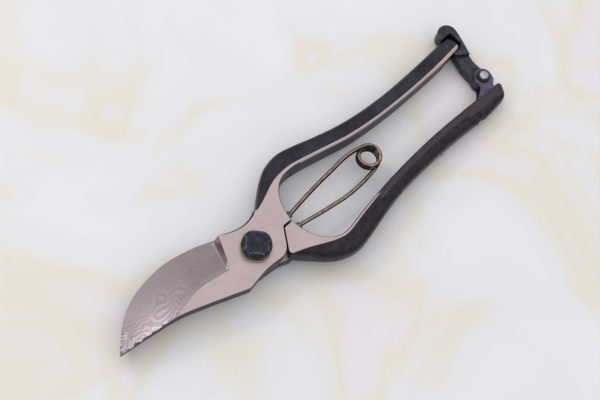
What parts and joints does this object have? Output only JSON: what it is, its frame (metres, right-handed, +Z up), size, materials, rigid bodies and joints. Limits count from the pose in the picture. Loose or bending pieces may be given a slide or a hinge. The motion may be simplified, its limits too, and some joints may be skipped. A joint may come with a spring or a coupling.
{
  "type": "floral snips",
  "caption": "Forged bypass shears for flower stems: curved ground blade over a hook jaw, open loop handles with a coil spring between them, and a catch lever at the handle tips.",
  "frame": {"origin": "on the pivot bolt's axis, at the flat underside of the pivot nut, on which the shears lie", "axes": "+X along the closed handles, away from the blade; +Y towards the blade half's handle; +Z up, out of the bolt head"},
  "size_m": [0.2079, 0.0522, 0.0178],
  "materials": {
    "blade_steel": "satin ground faces, polished layered bevel, black forge scale on the handle",
    "hook_steel": "ground flats, brushed brown-black handle",
    "black_oxide": "black oxide, filed facets",
    "brass": "plain turned",
    "bright_steel": "bright turned",
    "spring_wire": "dark drawn wire",
    "latch_steel": "dark tempered, satin",
    "bracket_steel": "blue-violet temper"
  },
  "bodies": {
    "hook_half": {"hook_half": "hook_steel", "pivot_bolt": "black_oxide", "head_washer": "brass", "back_washer": "bright_steel", "pivot_nut": "black_oxide", "spring_seat_hook": "bright_steel", "latch_bracket": "bracket_steel", "latch_rivet": "bright_steel", "rivet_washer": "black_oxide", "bracket_pin_front": "bright_steel", "bracket_pin_rear": "bright_steel"},
    "blade_half": {"blade_half": "blade_steel", "spring_seat_blade": "bright_steel"},
    "spring_hook_leg": {"spring_hook_leg": "spring_wire"},
    "spring_blade_leg": {"spring_blade_leg": "spring_wire"},
    "latch": {"latch_arm": "latch_steel"}
  },
  "joints": [
    {"name": "pivot", "type": "hinge", "parent": "hook_half", "child": "blade_half", "pos_m": [0, 0, 0], "axis": [0, 0, -1], "range_deg": [-38, 0]},
    {"name": "latch_swing", "type": "hinge", "parent": "hook_half", "child": "latch", "pos_m": [0.132, -0.0039, 0.004], "axis": [0, 0, -1], "range_deg": [0, 95]},
    {"name": "spring_foot", "type": "hinge", "parent": "hook_half", "child": "spring_hook_leg", "pos_m": [0.022, -0.0033, 0.0084], "axis": [0, 0, -1], "range_deg": [-28, 0.5]},
    {"name": "spring_coil", "type": "hinge", "parent": "spring_hook_leg", "child": "spring_blade_leg", "pos_m": [0.0652, 0.0003, 0.0084], "axis": [0, 0, -1], "range_deg": [-0.5, 20]}
  ],
  "couplings": [
    {"joint": "spring_foot", "follows": "pivot", "ratio": 0.716},
    {"joint": "spring_coil", "follows": "pivot", "ratio": -0.497}
  ]
}
